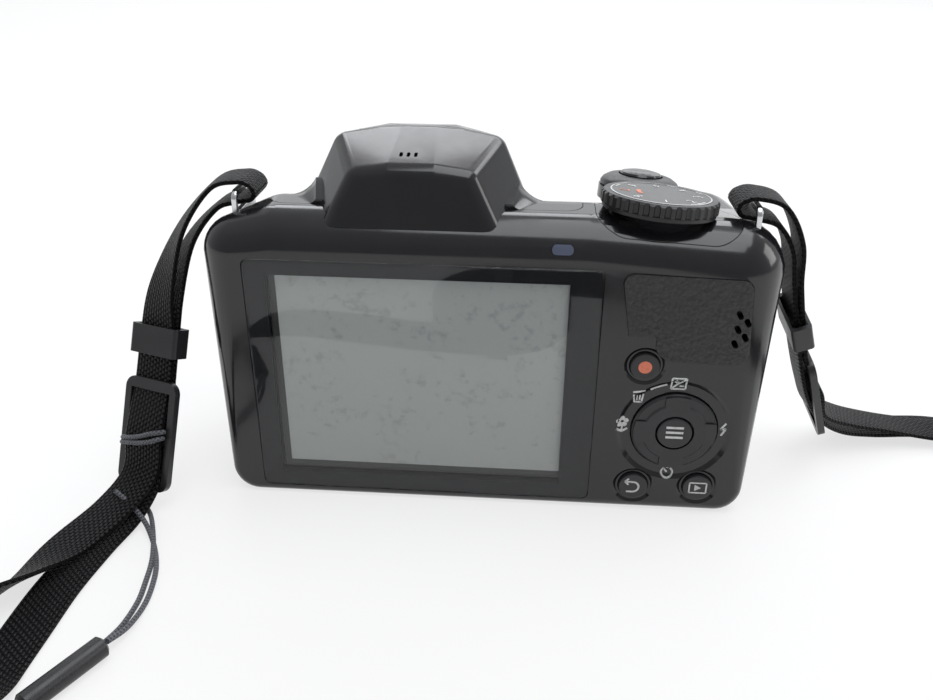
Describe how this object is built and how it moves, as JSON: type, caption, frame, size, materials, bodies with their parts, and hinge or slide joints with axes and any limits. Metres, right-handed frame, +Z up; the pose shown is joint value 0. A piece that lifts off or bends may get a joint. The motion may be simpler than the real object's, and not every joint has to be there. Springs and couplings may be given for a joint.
{
  "type": "bridge camera",
  "caption": "Compact bridge camera with a fixed superzoom lens, rear display, mode dial, pop-up flash and a webbing neck strap.",
  "frame": {"origin": "mouth of the tripod socket in the base, under the optical axis", "axes": "+X to the right as seen from the back, +Y forward along the lens, +Z up"},
  "size_m": [0.2419, 0.183, 0.0807],
  "materials": {
    "gloss_shell": "semi-gloss black moulding",
    "rubber_skin": "grained black rubber",
    "window_glass": "clear acrylic over a black printed border",
    "display_layer": "grey unlit liquid-crystal panel",
    "inner_metal": "plain sheet",
    "lamp_lens": "pale translucent",
    "button_plastic": "satin black",
    "dial_face": "black with printed marks",
    "board": "green circuit board",
    "flash_lens": "ribbed clear acrylic",
    "bright_metal": "polished steel",
    "dark_screw": "black plated",
    "barrel_plastic": "satin black",
    "optic": "coated glass",
    "orange_lens": "translucent amber",
    "inner_plastic": "moulded",
    "webbing": "black woven nylon webbing",
    "strap_plastic": "black moulding",
    "braid": "grey braided cord"
  },
  "bodies": {
    "camera": {"rear_cover": "gloss_shell", "front_cover": "gloss_shell", "top_cover": "gloss_shell", "dial_deck": "gloss_shell", "thumb_pad": "rubber_skin", "grip_skin": "rubber_skin", "display_window": "window_glass", "display_panel": "display_layer", "chassis_plate": "inner_metal", "indicator_lamp": "lamp_lens", "button_board": "board", "flash_pin": "bright_metal", "left_lug": "bright_metal", "right_lug": "bright_metal", "lens_ring": "gloss_shell", "lens_tube": "barrel_plastic", "rear_lens_cell": "barrel_plastic", "sensor_plate": "board", "focus_lamp": "orange_lens", "main_board": "board", "battery_cells": "inner_metal", "contact_plate": "inner_metal", "terminal_block": "inner_plastic", "speaker": "inner_plastic", "flash_capacitor": "inner_metal", "zoom_motor": "inner_metal", "tripod_bush": "bright_metal", "cover_screws": "dark_screw", "memory_card": "inner_plastic", "strap_left": "webbing", "strap_left_tail": "webbing", "strap_roll": "webbing", "strap_right": "webbing", "strap_right_tail": "webbing", "strap_keepers": "strap_plastic", "strap_buckles": "strap_plastic", "strap_tie": "strap_plastic", "cap_cord": "braid", "cord_toggle": "strap_plastic"},
    "movie_key": {"movie_button": "button_plastic"},
    "ok_key": {"ok_button": "button_plastic"},
    "back_key": {"back_button": "button_plastic"},
    "play_key": {"play_button": "button_plastic"},
    "pad_gimbal": {"selector_pivot": "inner_metal"},
    "pad": {"selector_ring": "button_plastic"},
    "dial": {"mode_dial": "button_plastic", "dial_cap": "dial_face"},
    "zoom_ring": {"zoom_lever": "button_plastic"},
    "shutter": {"shutter_button": "button_plastic"},
    "power": {"power_button": "button_plastic"},
    "flash": {"flash_housing": "gloss_shell", "flash_window": "flash_lens"},
    "barrel_one": {"outer_barrel": "barrel_plastic"},
    "barrel_two": {"inner_barrel": "barrel_plastic", "lens_bezel": "barrel_plastic", "front_lens": "optic"},
    "battery_lid": {"battery_door": "gloss_shell"},
    "terminal_lid": {"terminal_door": "gloss_shell"}
  },
  "joints": [
    {"name": "movie_press", "type": "slide", "parent": "camera", "child": "movie_key", "axis": [0, 1, 0], "range_m": [0, 0.00045], "stiffness_N_per_m": 700},
    {"name": "ok_press", "type": "slide", "parent": "camera", "child": "ok_key", "axis": [0, 1, 0], "range_m": [0, 0.00045], "stiffness_N_per_m": 700},
    {"name": "back_press", "type": "slide", "parent": "camera", "child": "back_key", "axis": [0, 1, 0], "range_m": [0, 0.00045], "stiffness_N_per_m": 700},
    {"name": "play_press", "type": "slide", "parent": "camera", "child": "play_key", "axis": [0, 1, 0], "range_m": [0, 0.00045], "stiffness_N_per_m": 700},
    {"name": "pad_up_down", "type": "hinge", "parent": "camera", "child": "pad_gimbal", "pos_m": [0.0569, -0.0181, 0.0212], "axis": [1, 0, 0], "range_deg": [-2, 2], "stiffness_Nm_per_rad": 0.2},
    {"name": "pad_left_right", "type": "hinge", "parent": "pad_gimbal", "child": "pad", "pos_m": [0.0569, -0.0181, 0.0212], "axis": [0, 0, 1], "range_deg": [-2, 2], "stiffness_Nm_per_rad": 0.2},
    {"name": "dial_turn", "type": "hinge", "parent": "camera", "child": "dial", "pos_m": [0.0505, -0.0075, 0.0701], "axis": [0.0764, 0.0924, 0.9928], "continuous": true},
    {"name": "zoom_turn", "type": "hinge", "parent": "camera", "child": "zoom_ring", "pos_m": [0.05, 0.026, 0.0616], "axis": [0.0764, 0.0924, 0.9928], "range_deg": [-18, 18], "stiffness_Nm_per_rad": 0.05},
    {"name": "shutter_press", "type": "slide", "parent": "camera", "child": "shutter", "axis": [-0.0764, -0.0924, -0.9928], "range_m": [0, 0.0009], "stiffness_N_per_m": 900},
    {"name": "power_press", "type": "slide", "parent": "camera", "child": "power", "axis": [0, 0, -1], "range_m": [0, 0.0006], "stiffness_N_per_m": 700},
    {"name": "flash_lift", "type": "hinge", "parent": "camera", "child": "flash", "pos_m": [0, 0.006, 0.0757], "axis": [1, 0, 0], "range_deg": [0, 42]},
    {"name": "zoom_one", "type": "slide", "parent": "camera", "child": "barrel_one", "axis": [0, 1, 0], "range_m": [0, 0.026]},
    {"name": "zoom_two", "type": "slide", "parent": "barrel_one", "child": "barrel_two", "axis": [0, 1, 0], "range_m": [0, 0.024]},
    {"name": "battery_door_swing", "type": "hinge", "parent": "camera", "child": "battery_lid", "pos_m": [0.0585, 0.005, 0.0024], "axis": [-1, 0, 0], "range_deg": [0, 90]},
    {"name": "terminal_door_swing", "type": "hinge", "parent": "camera", "child": "terminal_lid", "pos_m": [0.07325, 0.0016, 0.022], "axis": [0.061, 0, 0.9981], "range_deg": [0, 75]}
  ],
  "couplings": [
    {"joint": "zoom_two", "follows": "zoom_one", "ratio": 0.92308}
  ]
}
